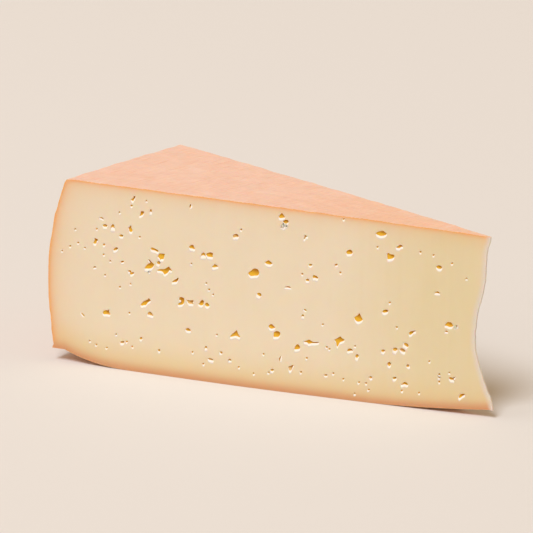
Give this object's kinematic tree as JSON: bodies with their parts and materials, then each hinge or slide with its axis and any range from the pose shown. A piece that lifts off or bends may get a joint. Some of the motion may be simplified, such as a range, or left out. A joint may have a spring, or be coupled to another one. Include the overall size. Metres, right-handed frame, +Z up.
{
  "type": "raclette cheese wedge",
  "caption": "Wedge of washed-rind raclette cheese, cut from the rim of a round wheel to its centre: pale pitted paste with ridged pink rind on its top, base and bulging heel.",
  "frame": {"origin": "under the middle of the bounding box, on the table that the base rests on", "axes": "+Z up; +X from the heel, which is the wheel's rim, to the tip, which is its centre; the pictured cut faces -Y"},
  "size_m": [0.161, 0.065, 0.0633],
  "materials": {
    "cheese": "moist satin paste with a dry, matt pink rind"
  },
  "bodies": {
    "root": {"cheese_wedge": "cheese"}
  },
  "joints": []
}
